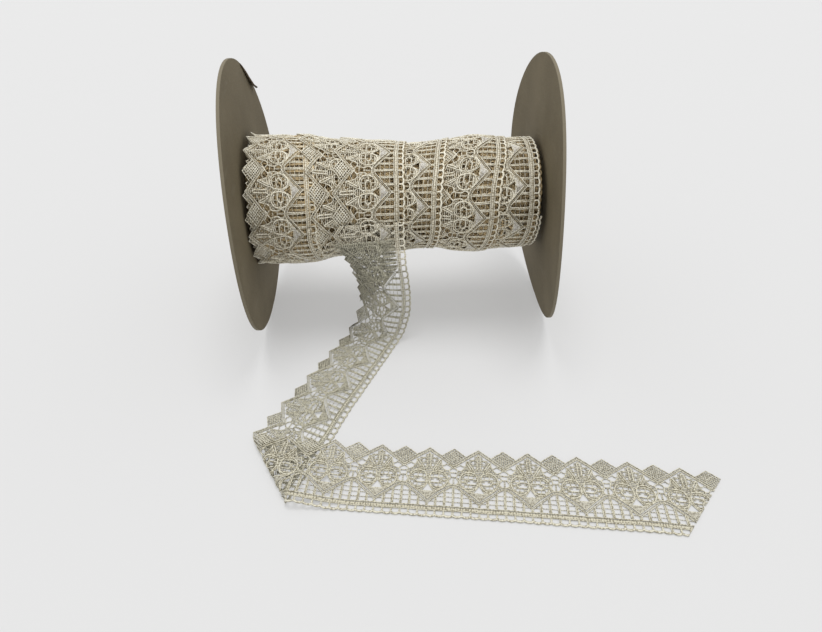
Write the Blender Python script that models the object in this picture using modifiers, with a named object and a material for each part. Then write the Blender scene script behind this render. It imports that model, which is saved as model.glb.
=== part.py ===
"""A spool of guipure lace ribbon: two board flanges, the wound roll and its loose end.

X runs along the spool, -Y is the front, where the loose end leaves the roll, and Z is up.
"""
import math

import bmesh
import bpy
from mathutils import Vector

# Driving dimensions, in metres.
MM = 0.001
FLANGE_RADIUS = 95.0 * MM
BOARD = 2.0 * MM
HUB_RADIUS = 45.0 * MM
FLAT_SPOT_DEPTH = 0.4 * MM
RIBBON_WIDTH = 49.8 * MM
REPEAT = 29.6 * MM
LACE = 1.2 * MM
GAP = 0.3 * MM
AXIS_HEIGHT = FLANGE_RADIUS - FLAT_SPOT_DEPTH
AXIS_DEPTH = -1.7 * MM

# The board flanges: where each hub sits, how far its disc turns and leans, and how it has warped.
FLANGES = {
    "left": {
        "side": -1, "hub": -104.5 * MM, "turn": -0.003, "lean": -0.020,
        "saddle": 2.2 * MM, "twist": 1.2 * MM,
    },
    "right": {
        "side": 1, "hub": 102.5 * MM, "turn": 0.046, "lean": -0.072,
        "saddle": -4.1 * MM, "twist": -0.3 * MM,
    },
}
WARP_POWER = 1.5
FLANGE_RINGS = (0.0, 0.24, HUB_RADIUS / FLANGE_RADIUS, 0.64, 0.8, 0.92, 1.0)
FLANGE_SEGMENTS = 80
MERGE_DISTANCE = 0.01 * MM
SHARP_ANGLE = math.radians(40.0)

# The roll's outer radius along the spool.
ROLL_PROFILE = (
    # place along X, radius
    (-102.0 * MM, 45.6 * MM),
    (-66.0 * MM, 46.0 * MM),
    (-45.0 * MM, 42.9 * MM),
    (-15.0 * MM, 40.2 * MM),
    (15.0 * MM, 38.4 * MM),
    (55.0 * MM, 42.3 * MM),
    (78.0 * MM, 40.4 * MM),
    (97.0 * MM, 39.8 * MM),
)
# The ribbon's edges that show on the roll: where each crosses the front, and how far it shifts in a turn.
ROLL_EDGES = (
    # place along X, shift a turn, side on which the turn below lies
    (-62.5 * MM, -38.0 * MM, -1),
    (-48.5 * MM, 20.0 * MM, -1),
    (3.0 * MM, 26.0 * MM, 1),
    (31.0 * MM, 32.0 * MM, 1),
    (66.0 * MM, 34.0 * MM, 1),
)
EDGE_STEP = 1.2 * MM
EDGE_HALF = 2.2 * MM
EDGE_FADE = 10.0 * MM
ROLL_END_DROP = 7.0 * MM
ROLL_END_ROWS = 2
ROLL_ROWS = 48
ROLL_SEGMENTS = 48

# The loose end. Its flat run starts where it touches down and folds over at the crease.
FLAT_HEADING = math.radians(-118.3)
CREASE_HEADING = math.radians(-63.4)
CREASE_CENTRE = Vector((-87.6 * MM, -165.5 * MM))
CREASE_RUN = 231.0 * MM
TOUCH_DOWN = 118.0 * MM
BEND_RADIUS = 2.6 * MM
BEND_FACETS = 6
CREASE_SETTLE = 14.0 * MM
UPPER_LIFT = LACE + 0.6 * MM
STEP_DOWN_START = 27.0 * MM
STEP_DOWN_END = 58.0 * MM
MOTIF_PHASE = -7.4 * MM
TAIL_REPEATS = 18
CUT_FAR = Vector((162.0 * MM, -186.0 * MM, 0.0))
CUT_NEAR = Vector((141.0 * MM, -232.0 * MM, 0.0))

# How the loose end hangs from the roll's front down to the table, in millimetres.
HANGING = (
    # distance along the ribbon, zigzag edge (x, y, z), picot edge (x, y, z), forward bulge of the middle
    (0.0, (-48.0, -45.9, 95.0), (1.8, -42.4, 95.0), 0.0),
    (15.0, (-46.5, -45.3, 80.0), (2.0, -43.9, 80.0), 1.0),
    (31.0, (-39.5, -38.8, 65.0), (2.9, -47.0, 64.5), 4.0),
    (52.0, (-33.2, -34.5, 45.0), (5.2, -49.5, 44.0), 6.0),
    (69.0, (-32.0, -34.0, 28.0), (5.3, -51.0, 27.5), 6.0),
    (82.0, (-36.0, -34.5, 15.5), (2.4, -52.5, 14.5), 5.0),
    (93.0, (-40.5, -37.5, 6.0), (-1.5, -54.0, 4.5), 4.0),
    (103.0, (-45.5, -43.5, 1.0), (-7.5, -62.0, 1.0), 3.5),
)
# The flat run's width and the height of its arched middle, then its sideways sway past the crease.
FLAT_WIDTH = ((TOUCH_DOWN, 43.5 * MM), (165.0 * MM, 45.1 * MM), (205.0 * MM, RIBBON_WIDTH))
FLAT_BULGE = ((TOUCH_DOWN, 3.0 * MM), (165.0 * MM, 2.5 * MM), (205.0 * MM, 0.0))
SWAY = ((0.0, 0.0), (75.0 * MM, -0.1 * MM), (155.0 * MM, -0.8 * MM), (245.0 * MM, -6.6 * MM))

# The lace's large gaps. Bars stand at every sixth of a repeat, and the rows cross them.
BARS_A_REPEAT = 6
BAR_HALF = 0.65 * MM
LACE_ROWS = (
    # share of the width at the diamond, beside it, beside the fan, at the fan
    (0.000, 0.090, 0.090, 0.000),
    (0.250, 0.250, 0.250, 0.250),
    (0.325, 0.325, 0.325, 0.325),
    (0.350, 0.350, 0.350, 0.350),
    (0.410, 0.410, 0.410, 0.410),
    (0.550, 0.550, 0.550, 0.550),
    (0.600, 0.650, 0.730, 0.640),
    (0.845, 0.845, 0.845, 0.845),
    (0.990, 0.990, 0.990, 0.990),
)
# A gap's row, and its column counted from the diamond's bar: even columns are bars, odd ones lie between.
LACE_GAPS = {
    "oval": (1, (1, 11)),
    "eye": (3, (0,)),
    "triangle": (5, (6,)),
    "arch": (6, (1, 3, 9, 11)),
}
EYE_HALF = 2.0 * MM
TRIANGLE_HALF = 2.4 * MM
COLUMNS_A_REPEAT = 2 * BARS_A_REPEAT
CUT_SNAP = 0.02 * MM


# Start from an empty scene, with one collection for the parts.
for old in list(bpy.data.objects):
    bpy.data.objects.remove(old, do_unlink=True)
spool = bpy.data.collections.new("lace_ribbon_spool")
bpy.context.scene.collection.children.link(spool)


def material(name, colour, roughness):
    """A plain matt material."""
    made = bpy.data.materials.new(name)
    made.use_nodes = True
    shader = made.node_tree.nodes["Principled BSDF"]
    shader.inputs["Base Color"].default_value = (*colour, 1.0)
    shader.inputs["Roughness"].default_value = roughness
    shader.inputs["Metallic"].default_value = 0.0
    return made


def grid_object(name, rows, columns, finish):
    """A flat grid of unit size, with rows along X and columns along Y, in the parts collection."""
    bpy.ops.mesh.primitive_grid_add(x_subdivisions=columns, y_subdivisions=rows, size=1.0)
    made = bpy.context.object
    made.name = name
    made.data.name = name
    for held in list(made.users_collection):
        held.objects.unlink(made)
    spool.objects.link(made)
    made.data.materials.append(finish)
    return made


def wrap(thing, place):
    """Lay a unit grid on the closed surface place(share along, share around) and close its seam."""
    for vertex in thing.data.vertices:
        vertex.co = place(vertex.co.x + 0.5, vertex.co.y + 0.5)
    form = bmesh.new()
    form.from_mesh(thing.data)
    bmesh.ops.remove_doubles(form, verts=form.verts, dist=MERGE_DISTANCE)
    bmesh.ops.recalc_face_normals(form, faces=form.faces)
    form.to_mesh(thing.data)
    form.free()
    thing.data.shade_smooth()
    thing.data.set_sharp_from_angle(angle=SHARP_ANGLE)


def blend(table, place):
    """The value at a place in a table of (place, value) rows, eased between rows and held past the ends."""
    if place <= table[0][0]:
        return table[0][1]
    for (start, low), (end, high) in zip(table, table[1:]):
        if place <= end:
            share = (place - start) / (end - start)
            share = share * share * (3.0 - 2.0 * share)
            return low + (high - low) * share
    return table[-1][1]


def ease(value):
    """Smooth rise from 0 to 1 as the value goes from 0 to 1."""
    share = min(max(value, 0.0), 1.0)
    return share * share * (3.0 - 2.0 * share)


# Flanges. Each is a board disc whose hub stays flat while its rim has warped like a saddle.
def flange_face(flange, y, z):
    """Where a flange's inner face stands along X at a depth y and a height z."""
    radius = math.hypot(y, z - AXIS_HEIGHT)
    bend = max(radius - HUB_RADIUS, 0.0) / (FLANGE_RADIUS - HUB_RADIUS)
    across = math.atan2(z - AXIS_HEIGHT, -y)
    warp = flange["saddle"] * math.cos(2.0 * across) + flange["twist"] * math.sin(2.0 * across)
    return flange["hub"] + flange["turn"] * y + flange["lean"] * (z - AXIS_HEIGHT) + warp * bend ** WARP_POWER


def build_flange(name, flange, finish):
    """One board disc: rings out over the inner face, round the rim and back in over the outer face."""
    rings = [(share, 0.0) for share in FLANGE_RINGS] + [(share, BOARD) for share in reversed(FLANGE_RINGS)]

    def place(along, around):
        share, offset = rings[round(along * (len(rings) - 1))]
        angle = 2.0 * math.pi * around
        y = -FLANGE_RADIUS * share * math.cos(angle)
        z = max(AXIS_HEIGHT + FLANGE_RADIUS * share * math.sin(angle), 0.0)
        return Vector((flange_face(flange, y, z) + flange["side"] * offset, y, z))

    disc = grid_object("flange_" + name, FLANGE_SEGMENTS, len(rings) - 1, finish)
    wrap(disc, place)


board = material("board", (0.147, 0.124, 0.084), 0.85)
for name, flange in FLANGES.items():
    build_flange(name, flange, board)


# Roll. One closed solid of the wound ribbon, stepped where a turn's edge lies over the turn below.
def roll_radius(x, angle):
    """The wound ribbon's radius at a place along X and an angle up from the front."""
    turn = math.remainder(angle, 2.0 * math.pi) / (2.0 * math.pi)
    dips = []
    for place, shift, lower_side in ROLL_EDGES:
        past = (x - place - shift * turn) * lower_side
        dips.append(ease((past + EDGE_HALF) / (2.0 * EDGE_HALF)) * math.exp(-max(past, 0.0) / EDGE_FADE))
    return blend(ROLL_PROFILE, x) - EDGE_STEP * max(dips)


def place_on_roll(along, around):
    """A point of the roll's surface, from one end's centre to the other end's centre."""
    angle = 2.0 * math.pi * around
    row = round(along * ROLL_ROWS)
    from_end = min(row, ROLL_ROWS - row)
    share = (row - ROLL_END_ROWS) / (ROLL_ROWS - 2 * ROLL_END_ROWS)
    left_stop, right_stop = ROLL_PROFILE[0][0], ROLL_PROFILE[-1][0]
    x = left_stop + (right_stop - left_stop) * min(max(share, 0.0), 1.0)
    radius = roll_radius(x, angle)
    if from_end < ROLL_END_ROWS:
        radius = (radius - ROLL_END_DROP) * from_end / (ROLL_END_ROWS - 1)
    y = AXIS_DEPTH - radius * math.cos(angle)
    z = AXIS_HEIGHT + radius * math.sin(angle)
    if from_end < ROLL_END_ROWS:
        flange = FLANGES["left" if row < ROLL_END_ROWS else "right"]
        x = flange_face(flange, y, z) - flange["side"] * GAP
    return Vector((x, y, z))


lace = material("ivory_lace", (0.66, 0.62, 0.52), 0.6)
roll = grid_object("lace_roll", ROLL_SEGMENTS, ROLL_ROWS, lace)
wrap(roll, place_on_roll)


# Loose end. A flat strip of lace is cut with its gaps, laid along its run, folded and thickened.
def heading(angle):
    """The unit vector at an angle from +X, on the table."""
    return Vector((math.cos(angle), math.sin(angle)))


RUN_WAY = heading(FLAT_HEADING)
PICOT_WAY = heading(FLAT_HEADING + math.pi / 2.0)
CREASE_WAY = heading(CREASE_HEADING)
PAST_CREASE = heading(CREASE_HEADING - math.pi / 2.0)


def lace_point(column, row):
    """A corner of the flat lace: distance along the ribbon and distance from its zigzag edge."""
    bar, side = divmod(column, 2)
    in_repeat = bar % BARS_A_REPEAT
    from_diamond = min(in_repeat, BARS_A_REPEAT - in_repeat)
    half = BAR_HALF
    if from_diamond == 0 and row in (3, 4):
        half = EYE_HALF
    if from_diamond == 3 and row == 6:
        half = TRIANGLE_HALF
    along = bar * REPEAT / BARS_A_REPEAT + (half if side else -half)
    return along, LACE_ROWS[row][from_diamond] * RIBBON_WIDTH


def flat_edge(run, share):
    """An edge point of the flat run, for the curve that leads into it."""
    centre = CREASE_CENTRE + RUN_WAY * (run - CREASE_RUN)
    point = centre + PICOT_WAY * (share - 0.5) * blend(FLAT_WIDTH, run)
    return Vector((point.x, point.y, LACE / 2.0))


def hanging_knots():
    """The hanging stretch's rows in metres, with two rows of the flat run after them."""
    knots = [
        {"run": run * MM, "zigzag": Vector(zigzag) * MM, "picot": Vector(picot) * MM, "bulge": bulge * MM}
        for run, zigzag, picot, bulge in HANGING
    ]
    for run in (TOUCH_DOWN, TOUCH_DOWN + REPEAT / 2.0):
        ends = {"zigzag": flat_edge(run, 0.0), "picot": flat_edge(run, 1.0)}
        knots.append({"run": run, "bulge": blend(FLAT_BULGE, run), **ends})
    return knots


HANGING_KNOTS = hanging_knots()


def hanging_point(run, share):
    """A point of the hanging stretch, from a smooth curve through its rows."""
    knots = HANGING_KNOTS
    step = max(index for index in range(len(knots) - 2) if knots[index]["run"] <= max(run, 0.0))
    before, start, end, after = knots[max(step - 1, 0)], knots[step], knots[step + 1], knots[step + 2]
    span = end["run"] - start["run"]
    t = (run - start["run"]) / span

    def curve(item):
        into = (end[item] - before[item]) * (span / (end["run"] - before["run"]))
        out = (after[item] - start[item]) * (span / (after["run"] - start["run"]))
        eased = 3.0 * t ** 2 - 2.0 * t ** 3
        return (start[item] * (1.0 - eased) + end[item] * eased
                + into * (t ** 3 - 2.0 * t ** 2 + t) + out * (t ** 3 - t ** 2))

    zigzag, picot = curve("zigzag"), curve("picot")
    ahead = end["zigzag"] + end["picot"] - start["zigzag"] - start["picot"]
    outward = ahead.cross(picot - zigzag).normalized()
    point = zigzag.lerp(picot, share) + outward * curve("bulge") * 4.0 * share * (1.0 - share)
    point.z = max(point.z, LACE / 2.0)
    return point


def laid_point(run, across):
    """A point of the stretch that lies on the table, before and past the crease."""
    share = across / RIBBON_WIDTH
    sideways = (share - 0.5) * blend(FLAT_WIDTH, run)
    spot = RUN_WAY * (run - CREASE_RUN) + PICOT_WAY * sideways
    along_crease = spot.dot(CREASE_WAY)
    past = spot.dot(PAST_CREASE)
    bulge = blend(FLAT_BULGE, run) * 4.0 * share * (1.0 - share)
    if past <= 0.0:
        flat = CREASE_CENTRE + spot
        return Vector((flat.x, flat.y, LACE / 2.0 + bulge))
    turn = past / BEND_RADIUS
    if turn <= math.pi:
        flat = CREASE_CENTRE + CREASE_WAY * along_crease + PAST_CREASE * BEND_RADIUS * math.sin(turn)
        return Vector((flat.x, flat.y, LACE / 2.0 + BEND_RADIUS * (1.0 - math.cos(turn))))
    back = past - math.pi * BEND_RADIUS
    flat = CREASE_WAY * along_crease - PAST_CREASE * back
    lift = UPPER_LIFT + (2.0 * BEND_RADIUS - UPPER_LIFT) * math.exp(-back / CREASE_SETTLE)
    over = flat.dot(PICOT_WAY)
    lift *= 1.0 - ease((over - STEP_DOWN_START) / (STEP_DOWN_END - STEP_DOWN_START))
    flat = CREASE_CENTRE + flat + Vector((0.0, blend(SWAY, back)))
    return Vector((flat.x, flat.y, LACE / 2.0 + lift))


def lace_place(run, across):
    """A point of the loose end, from the roll's front to its cut end."""
    if run < TOUCH_DOWN:
        return hanging_point(run, across / RIBBON_WIDTH)
    return laid_point(run, across)


def slice_flat(strip, point, way, drop):
    """Cut every face along a plane, and drop what lies on the side that it faces if asked."""
    everything = strip.verts[:] + strip.edges[:] + strip.faces[:]
    bmesh.ops.bisect_plane(
        strip, geom=everything, dist=CUT_SNAP, plane_co=point, plane_no=way, clear_outer=drop)


def build_tail(finish):
    """The flat lace with its gaps, creased along the fold, laid in place and thickened."""
    columns = TAIL_REPEATS * COLUMNS_A_REPEAT
    rows = len(LACE_ROWS) - 1
    tail = grid_object("lace_tail", rows, columns, finish)
    strip = bmesh.new()
    strip.from_mesh(tail.data)
    holes = []
    for face in strip.faces:
        middle = face.calc_center_median()
        column = math.floor((middle.x + 0.5) * columns) % COLUMNS_A_REPEAT
        row = math.floor((middle.y + 0.5) * rows)
        if any(row == gap_row and column in gap_columns for gap_row, gap_columns in LACE_GAPS.values()):
            holes.append(face)
    bmesh.ops.delete(strip, geom=holes, context="FACES")
    for vertex in strip.verts:
        column = round((vertex.co.x + 0.5) * columns)
        row = round((vertex.co.y + 0.5) * rows)
        along, across = lace_point(column, row)
        vertex.co = (MOTIF_PHASE + along, across, 0.0)
    slice_flat(strip, Vector((0.0, 0.0, 0.0)), Vector((-1.0, 0.0, 0.0)), drop=True)
    past_run = Vector((PAST_CREASE.dot(RUN_WAY), PAST_CREASE.dot(PICOT_WAY), 0.0))
    centre = Vector((CREASE_RUN, RIBBON_WIDTH / 2.0, 0.0))
    for facet in range(BEND_FACETS + 1):
        bend_line = centre + past_run * (math.pi * BEND_RADIUS * facet / BEND_FACETS)
        slice_flat(strip, bend_line, past_run, drop=False)
    for vertex in strip.verts:
        vertex.co = lace_place(vertex.co.x, vertex.co.y)
    cut_way = (CUT_FAR - CUT_NEAR).cross(Vector((0.0, 0.0, 1.0)))
    slice_flat(strip, CUT_NEAR, cut_way, drop=True)
    strip.to_mesh(tail.data)
    strip.free()
    thick = tail.modifiers.new("thickness", "SOLIDIFY")
    thick.thickness = LACE
    thick.offset = 0.0


build_tail(lace)


# Stand the part with its origin under the middle of its bounding box.
def stand_at_origin(things):
    """Hang every part on one empty, and move that empty until the box's bottom centre is the origin."""
    anchor = bpy.data.objects.new("spool_anchor", None)
    spool.objects.link(anchor)
    graph = bpy.context.evaluated_depsgraph_get()
    corners = [Vector(corner) for thing in things for corner in thing.evaluated_get(graph).bound_box]
    low = Vector([min(corner[axis] for corner in corners) for axis in range(3)])
    high = Vector([max(corner[axis] for corner in corners) for axis in range(3)])
    for thing in things:
        thing.parent = anchor
    anchor.location = (-(low.x + high.x) / 2.0, -(low.y + high.y) / 2.0, -low.z)


stand_at_origin([thing for thing in spool.objects if thing.type == "MESH"])
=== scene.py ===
"""The looks of a spool of guipure lace ribbon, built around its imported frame."""

import math

import bmesh
import bpy
from mathutils import Matrix, Vector, noise


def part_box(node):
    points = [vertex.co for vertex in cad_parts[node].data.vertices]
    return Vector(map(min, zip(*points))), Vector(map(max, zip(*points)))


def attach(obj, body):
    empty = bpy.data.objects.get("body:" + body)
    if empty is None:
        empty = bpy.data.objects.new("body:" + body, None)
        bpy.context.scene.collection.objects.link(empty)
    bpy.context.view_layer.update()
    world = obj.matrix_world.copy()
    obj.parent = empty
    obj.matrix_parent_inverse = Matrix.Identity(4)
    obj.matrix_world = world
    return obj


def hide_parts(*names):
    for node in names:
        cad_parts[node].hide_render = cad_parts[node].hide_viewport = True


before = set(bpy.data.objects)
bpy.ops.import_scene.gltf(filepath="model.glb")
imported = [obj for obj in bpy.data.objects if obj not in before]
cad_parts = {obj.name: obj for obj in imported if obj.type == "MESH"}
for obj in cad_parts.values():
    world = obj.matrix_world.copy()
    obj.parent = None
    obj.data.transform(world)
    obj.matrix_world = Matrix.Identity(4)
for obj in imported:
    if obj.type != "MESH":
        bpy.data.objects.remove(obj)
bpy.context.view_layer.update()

# The view. The camera stands in front of the spool and a little to its left, and looks down on it
# at about 37 degrees. Places on the spool are given in millimetres from the middle of its axle line,
# on the table, and spool_point() turns them into the frame's metres.
MM = 0.001
SPOOL_MIDDLE = Vector((-24.343, 67.899, 0.0))
EYE = (-18.7, -407.2, 287.9)
PITCH = math.radians(36.755)
YAW = math.radians(3.847)
ROLL = math.radians(0.195)
FOCAL_SHARE = 600.0 / 822.0
SENSOR = 36.0


def spool_point(x, y, z):
    """A place given in the spool's own millimetres, in the frame's metres."""
    return (Vector((x, y, z)) + SPOOL_MIDDLE) * MM


def select_only(piece):
    """Make one object the only selected one, and the active one."""
    bpy.ops.object.select_all(action="DESELECT")
    piece.select_set(True)
    bpy.context.view_layer.objects.active = piece


bpy.ops.object.select_all(action="DESELECT")
bpy.ops.object.camera_add(location=spool_point(*EYE))
camera = bpy.context.object
ahead = Vector((math.sin(YAW) * math.cos(PITCH), math.cos(YAW) * math.cos(PITCH), -math.sin(PITCH)))
level = Vector((math.cos(YAW), -math.sin(YAW), 0.0))
below = ahead.cross(level)
right = math.cos(ROLL) * level + math.sin(ROLL) * below
down = math.cos(ROLL) * below - math.sin(ROLL) * level
camera.rotation_mode = "QUATERNION"
camera.rotation_quaternion = Matrix((right, -down, -ahead)).transposed().to_quaternion()
camera.data.sensor_width = SENSOR
camera.data.lens = SENSOR * FOCAL_SHARE
camera.data.clip_start = 0.01
bpy.context.scene.camera = camera


# The table and the light. A pale matt light table runs far behind the spool, under an even pale sky
# and one wide soft lamp overhead, so that shadows stay faint.
TABLE_SIZE = 8.0
TABLE_DROP = 0.00005
TABLE_COLOUR = (0.33, 0.33, 0.33)
TABLE_GLOW = 0.35
SKY_COLOUR = (1.0, 1.0, 1.0)
SKY_STRENGTH = 0.72
LAMP_STRENGTH = 1.95
LAMP_SPREAD = math.radians(35.0)
LAMP_TURN = (math.radians(-4.0), 0.0, 0.0)


class Wire:
    """A socket of a material's nodes, used in plain sums: each operator adds a Math node."""

    def __init__(self, tree, socket=None):
        self.tree = tree
        self.socket = socket

    def node(self, kind, settings=None, values=None, output=0):
        """Add a node: its settings first, then the values or links of its sockets."""
        made = self.tree.nodes.new(kind)
        for key, value in (settings or {}).items():
            setattr(made, key, value)
        for key, value in (values or {}).items():
            if isinstance(value, Wire):
                self.tree.links.new(value.socket, made.inputs[key])
            else:
                made.inputs[key].default_value = value
        return Wire(self.tree, made.outputs[output])

    def math(self, operation, *values):
        """A Math node on this and other values."""
        return self.node("ShaderNodeMath", {"operation": operation}, dict(enumerate(values)))

    def __add__(self, other):
        return self.math("ADD", self, other)

    def __radd__(self, other):
        return self.math("ADD", other, self)

    def __sub__(self, other):
        return self.math("SUBTRACT", self, other)

    def __rsub__(self, other):
        return self.math("SUBTRACT", other, self)

    def __mul__(self, other):
        return self.math("MULTIPLY", self, other)

    def __rmul__(self, other):
        return self.math("MULTIPLY", other, self)

    def root(self):
        """The square root."""
        return self.math("SQRT", self)

    def wave(self):
        """A wave from -1 to 1."""
        return self.math("SINE", self)

    def band(self, low, high):
        """Smooth rise from 0 at low to 1 at high."""
        settings = {"interpolation_type": "SMOOTHSTEP"}
        values = {"Value": self, "From Min": low, "From Max": high}
        return self.node("ShaderNodeMapRange", settings, values)

    def mix(self, low, high):
        """One colour where this is 0 and another where it is 1; each is a colour or a link."""
        made = self.tree.nodes.new("ShaderNodeMix")
        made.data_type = "RGBA"
        self.tree.links.new(self.socket, made.inputs[0])
        for index, value in ((6, low), (7, high)):
            if isinstance(value, Wire):
                self.tree.links.new(value.socket, made.inputs[index])
            else:
                made.inputs[index].default_value = (*value, 1.0)
        return Wire(self.tree, made.outputs[2])

    def noise(self, place, scale, detail):
        """Cloudy noise, from about 0 to 1, at a place."""
        return self.node("ShaderNodeTexNoise", None, {"Vector": place, "Scale": scale, "Detail": detail})

    def part(self, index):
        """One of the three parts of this vector."""
        return self.node("ShaderNodeSeparateXYZ", None, {"Vector": self}, index)

    def bump(self, strength, distance):
        """The surface normal that this height gives."""
        values = {"Height": self, "Strength": strength, "Distance": distance}
        return self.node("ShaderNodeBump", None, values)


def new_material(name, roughness, **sockets):
    """A material with one shader, whose other constants are set straight on its sockets."""
    made = bpy.data.materials.new(name)
    made.use_nodes = True
    shader = made.node_tree.nodes["Principled BSDF"]
    shader.inputs["Roughness"].default_value = roughness
    for key, value in sockets.items():
        shader.inputs[key.replace("_", " ")].default_value = value
    return made, shader, Wire(made.node_tree)


def plug(shader, socket, wire):
    """Feed one socket of a shader."""
    wire.tree.links.new(wire.socket, shader.inputs[socket])


bpy.ops.object.select_all(action="DESELECT")
bpy.ops.mesh.primitive_plane_add(size=TABLE_SIZE, location=(0.0, TABLE_SIZE / 4.0, -TABLE_DROP))
table = bpy.context.object
table.name = "table_top"
pale, pale_shader, pale_wire = new_material("pale_table", 0.9)
pale_shader.inputs["Base Color"].default_value = (*TABLE_COLOUR, 1.0)
pale_shader.inputs["Emission Color"].default_value = (1.0, 1.0, 1.0, 1.0)
pale_shader.inputs["Emission Strength"].default_value = TABLE_GLOW
table.data.materials.append(pale)

world = bpy.data.worlds.new("even_sky")
bpy.context.scene.world = world
world.use_nodes = True
world.node_tree.nodes["Background"].inputs["Color"].default_value = (*SKY_COLOUR, 1.0)
world.node_tree.nodes["Background"].inputs["Strength"].default_value = SKY_STRENGTH
bpy.ops.object.light_add(type="SUN", location=(0.0, 0.0, 1.0), rotation=LAMP_TURN)
lamp = bpy.context.object
lamp.name = "soft_overhead_light"
lamp.data.energy = LAMP_STRENGTH
lamp.data.angle = LAMP_SPREAD
bpy.context.scene.view_settings.view_transform = "Standard"


# The flanges. Two discs of 2 mm grey-brown pulp board, die-cut, with faint scuffs and a paler cut
# rim, painted highlight where the edge catches the light. They keep the frame's own shapes and get
# the board's finish.
FLANGE_RADIUS = 95.0
AXIS_HEIGHT = 94.6
BOARD_COLOUR = (0.182, 0.151, 0.094)
BOARD_DARK = (0.138, 0.113, 0.068)
# Pale scuffs, and the painted highlight of the cut rim.
BOARD_SCUFF_AND_RIM_HIGHLIGHT = (0.19, 0.165, 0.115)
# The paler cut rim, a painted highlight, starts and is full so far in from the disc's edge, in
# millimetres.
RIM_START = 0.6
RIM_FULL = 0.25


def board_material():
    """Grey-brown pulp board: fibres, mottling, scuffs and a paler rim of painted highlight."""
    made, shader, start = new_material("pulp_board", 0.82, Specular_IOR_Level=0.3)
    place = start.node("ShaderNodeTexCoord", output=3)
    along = start.node("ShaderNodeMapping", None, {"Vector": place, "Scale": (1.0, 1.0, 3.5)})
    fibres = start.noise(along, 420.0, 5.0)
    mottle = start.noise(place, 28.0, 4.0)
    across = start.node("ShaderNodeMapping", None, {"Vector": place, "Scale": (1.0, 0.15, 1.0)})
    scuffs = start.noise(across, 160.0, 3.0).band(0.62, 0.72) * 0.35
    y = place.part(1) - SPOOL_MIDDLE.y * MM
    z = place.part(2) - AXIS_HEIGHT * MM
    radius = (y * y + z * z).root()
    # The paler rim is painted highlight, for the cut edge that catches the light.
    rim = radius.band((FLANGE_RADIUS - RIM_START) * MM, (FLANGE_RADIUS - RIM_FULL) * MM)
    tone = (fibres * 0.45 + mottle * 0.55).band(0.3, 0.7)
    colour = scuffs.mix(tone.mix(BOARD_DARK, BOARD_COLOUR), BOARD_SCUFF_AND_RIM_HIGHLIGHT)
    plug(shader, "Base Color", rim.mix(colour, BOARD_SCUFF_AND_RIM_HIGHLIGHT))
    plug(shader, "Normal", (fibres + mottle * 0.6).bump(0.25, 0.0004))
    return made


board = board_material()
for name in ("flange_left", "flange_right"):
    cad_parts[name].material_slots[0].material = board

# The torn scrap. At its far upper rim a strip of the left flange's own pulp board has come loose. It
# is still fixed along the rim, and its free edge curls off the face. Its length is given in degrees
# round the rim, and its width, curl and thickness in millimetres.
# The scrap is painted dark: painted shade, for it curls in its own shadow.
TORN_IN_SHADE = (0.050, 0.034, 0.018)
TORN_FIBRES_IN_SHADE = (0.105, 0.078, 0.045)
TORN_ANGLES = (62.0, 58.0, 54.0, 50.0, 46.0, 42.5, 40.5)
TORN_WIDTH = (0.6, 2.6, 4.4, 5.6, 6.2, 5.2, 2.6)
TORN_LIFT = (0.2, 0.5, 1.0, 1.7, 2.5, 3.2, 3.6)
TORN_THICKNESS = 0.5
TORN_FROM_RIM = 0.4
TORN_STAND = 0.1
TORN_CURL = 0.7
INSIDE_FACE = -80.0


def torn_material():
    """The inside of the pulp board, laid bare, with loose fibres, painted dark as painted shade."""
    made, shader, start = new_material("torn_board_in_shade", 0.9, Specular_IOR_Level=0.2)
    place = start.node("ShaderNodeTexCoord", output=3)
    fibres = start.noise(place, 900.0, 4.0)
    plug(shader, "Base Color", fibres.band(0.35, 0.75).mix(TORN_IN_SHADE, TORN_FIBRES_IN_SHADE))
    plug(shader, "Normal", fibres.bump(0.6, 0.0004))
    return made


TORN_STEPS = len(TORN_ANGLES) - 1
bpy.ops.object.select_all(action="DESELECT")
bpy.ops.mesh.primitive_grid_add(x_subdivisions=TORN_STEPS, y_subdivisions=3, size=1.0)
scrap = bpy.context.object
scrap.name = "torn_scrap"
for vertex in scrap.data.vertices:
    step = round((vertex.co.x + 0.5) * TORN_STEPS)
    inward = 0.5 - vertex.co.y
    angle = math.radians(TORN_ANGLES[step])
    radius = FLANGE_RADIUS - TORN_FROM_RIM - TORN_WIDTH[step] * inward
    place = spool_point(INSIDE_FACE, radius * math.cos(angle), AXIS_HEIGHT + radius * math.sin(angle))
    _, face, _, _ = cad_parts["flange_left"].ray_cast(place, Vector((-1.0, 0.0, 0.0)))
    stand = TORN_STAND + TORN_LIFT[step] * inward ** TORN_CURL
    vertex.co = face + Vector((stand * MM, 0.0, 0.0))
select_only(scrap)
thick = scrap.modifiers.new("board", "SOLIDIFY")
thick.thickness = TORN_THICKNESS * MM
thick.offset = 0.0
bpy.ops.object.modifier_apply(modifier=thick.name)
scrap.data.shade_smooth()
scrap.data.materials.append(torn_material())
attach(scrap, "root")


# The lace repeat. The ribbon is machine-made guipure: ivory rayon thread, stitched into fused cords
# with open gaps between. One small repeat, 29.6 mm long and 49.8 mm wide, has a netted diamond, a fan
# over two scrolls and a satin leaf, an arch with ladder bars, a double rail and a row of picot loops.
RIBBON_WIDTH = 49.8
LACE = 1.2
REPEAT = 29.6
HALF = REPEAT / 2.0
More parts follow.
